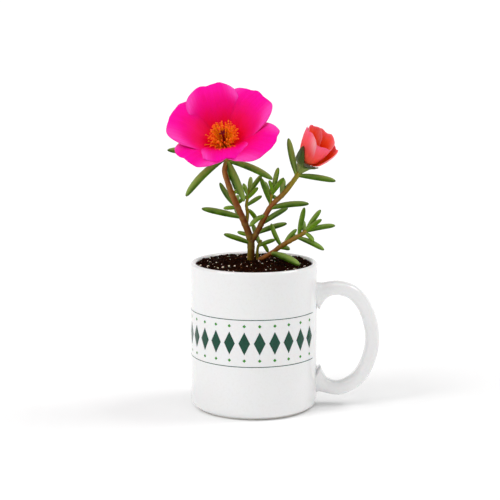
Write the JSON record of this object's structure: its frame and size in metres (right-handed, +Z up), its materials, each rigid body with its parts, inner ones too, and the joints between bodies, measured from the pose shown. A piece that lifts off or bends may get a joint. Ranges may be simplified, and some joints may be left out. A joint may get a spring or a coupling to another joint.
{
  "type": "portulaca in a mug",
  "caption": "Moss rose plant with an open bloom and a half-open bud on leafy stems, growing in soil in a straight-sided mug with a loop handle.",
  "frame": {"origin": "bottom centre of the whole object's bounding box, on the plane that the mug stands on", "axes": "+Z up, +X towards the mug's handle, -Y towards the front that the open bloom faces"},
  "size_m": [0.1372, 0.082, 0.2096],
  "materials": {
    "glaze": "glossy white glaze",
    "print": "fired green print",
    "soil": "damp peat potting soil",
    "perlite": "matte white mineral grains",
    "stem": "smooth fleshy red-brown skin",
    "leaf": "smooth waxy succulent skin",
    "sepal": "smooth green sepals",
    "petal_magenta": "thin silky petals",
    "petal_coral": "thin silky petals",
    "stamen": "orange filaments with pollen",
    "pistil": "soft maroon lobes"
  },
  "bodies": {
    "root": {"mug": "glaze", "soil": "soil", "stem_left": "leaf", "stem_right": "leaf", "stem_low": "leaf", "shoot_centre": "leaf", "shoot_riser": "leaf", "shoot_behind": "leaf", "shoot_base": "leaf", "bloom_calyx": "sepal", "bloom_petals": "petal_magenta", "bloom_stamens": "stamen", "bloom_pistil": "pistil", "bud_calyx": "sepal", "bud_petals": "petal_coral", "bud_stamens": "stamen"}
  },
  "joints": []
}
